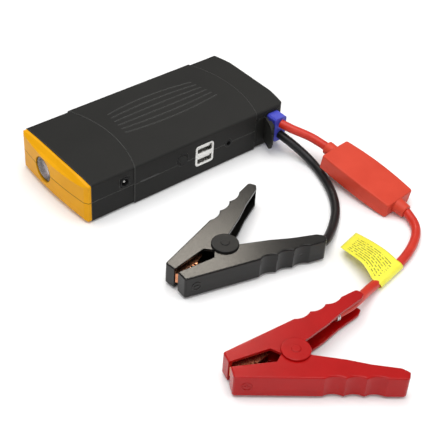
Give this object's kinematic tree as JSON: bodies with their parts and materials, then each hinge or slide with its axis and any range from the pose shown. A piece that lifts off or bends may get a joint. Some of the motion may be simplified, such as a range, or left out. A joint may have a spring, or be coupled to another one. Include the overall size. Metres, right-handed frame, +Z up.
{
  "type": "jump starter pack",
  "caption": "Portable vehicle jump starter: flat battery pack with lamp, USB ports and button, with a plug-in cable that has an in-line protection box and two spring clamps.",
  "frame": {"origin": "middle of the pack's underside, on the surface it stands on", "axes": "+X along the pack from the lamp end cap to the clamp-cable socket, the ports face -Y, +Z up"},
  "size_m": [0.2142, 0.3137, 0.0326],
  "materials": {
    "casing_black": "fine moulded texture",
    "cap_yellow": "satin moulded",
    "lens_clear": "clear",
    "reflector": "polished",
    "circuit_board": "satin solder mask",
    "component_black": "matte",
    "led": "satin",
    "usb_white": "satin",
    "connector_metal": "plated",
    "plug_blue": "satin",
    "cover_rubber": "matte",
    "box_red": "fine moulded texture",
    "clamp_red": "glossy moulded",
    "clamp_black": "glossy moulded",
    "lead_red": "silicone",
    "lead_black": "silicone",
    "copper": "stamped",
    "steel": "plated",
    "label_yellow": "coated film",
    "foot_rubber": "matte",
    "cell_foil": "satin foil",
    "foam": "closed-cell foam",
    "window_smoke": "smoked"
  },
  "bodies": {
    "pack": {"battery_cells": "cell_foil", "battery_lead_negative": "lead_black", "battery_lead_positive": "lead_red", "board_parts": "component_black", "button_bezel": "component_black", "casing_screws": "steel", "cell_foam": "foam", "cell_tabs": "connector_metal", "cover_anchor": "cover_rubber", "dc_input_jack": "component_black", "dc_input_pin": "connector_metal", "dc_output_jack": "component_black", "end_cap_lower": "cap_yellow", "end_cap_upper": "cap_yellow", "lamp_board": "circuit_board", "lamp_led": "led", "lamp_lens": "lens_clear", "lamp_reflector": "reflector", "lower_casing": "casing_black", "main_board": "circuit_board", "power_switch": "component_black", "rubber_feet": "foot_rubber", "socket_contacts": "copper", "socket_housing": "component_black", "status_leds": "led", "status_window": "window_smoke", "upper_casing": "casing_black", "usb_housing": "usb_white", "usb_shells": "connector_metal", "usb_tongues": "usb_white"},
    "power_button": {"power_button": "casing_black"},
    "socket_cover": {"socket_cover": "cover_rubber"},
    "smart_cable": {"black_clamp_lead_half": "clamp_black", "black_clamp_lead_jaw": "copper", "black_clamp_pivot_discs": "clamp_black", "black_clamp_pivot_pin": "steel", "black_clamp_spring": "steel", "black_lead": "lead_black", "box_board": "circuit_board", "box_collar_in": "box_red", "box_collar_out": "box_red", "box_lower": "box_red", "box_relay": "component_black", "box_upper": "box_red", "lead_label": "label_yellow", "plug_contacts": "copper", "plug_housing": "plug_blue", "red_clamp_lead_half": "clamp_red", "red_clamp_lead_jaw": "copper", "red_clamp_pivot_discs": "clamp_red", "red_clamp_pivot_pin": "steel", "red_clamp_spring": "steel", "red_lead_1": "lead_red", "red_lead_2": "lead_red"},
    "black_clamp_free": {"black_clamp_free_half": "clamp_black", "black_clamp_free_jaw": "copper", "black_clamp_spring_leg": "steel"},
    "red_clamp_free": {"red_clamp_free_half": "clamp_red", "red_clamp_free_jaw": "copper", "red_clamp_spring_leg": "steel"}
  },
  "joints": [
    {"name": "button_press", "type": "slide", "parent": "pack", "child": "power_button", "axis": [0, 1, 0], "range_m": [0, 0.0006], "stiffness_N_per_m": 800, "springref_m": -0.0005},
    {"name": "cover_hinge", "type": "hinge", "parent": "pack", "child": "socket_cover", "pos_m": [0.0673, -0.0419, 0.0164], "axis": [0, 0, 1], "range_deg": [-42, 10]},
    {"name": "cable_pull", "type": "slide", "parent": "pack", "child": "smart_cable", "axis": [0, -1, 0], "range_m": [0, 0.012]},
    {"name": "black_clamp_pivot", "type": "hinge", "parent": "smart_cable", "child": "black_clamp_free", "pos_m": [-0.039, -0.1237, 0.0095], "axis": [0, 0, -1], "range_deg": [0, 40], "stiffness_Nm_per_rad": 0.6, "springref_deg": -20.05},
    {"name": "red_clamp_pivot", "type": "hinge", "parent": "smart_cable", "child": "red_clamp_free", "pos_m": [-0.0646, -0.2185, 0.0095], "axis": [0, 0, 1], "range_deg": [0, 40], "stiffness_Nm_per_rad": 0.6, "springref_deg": -20.05}
  ]
}
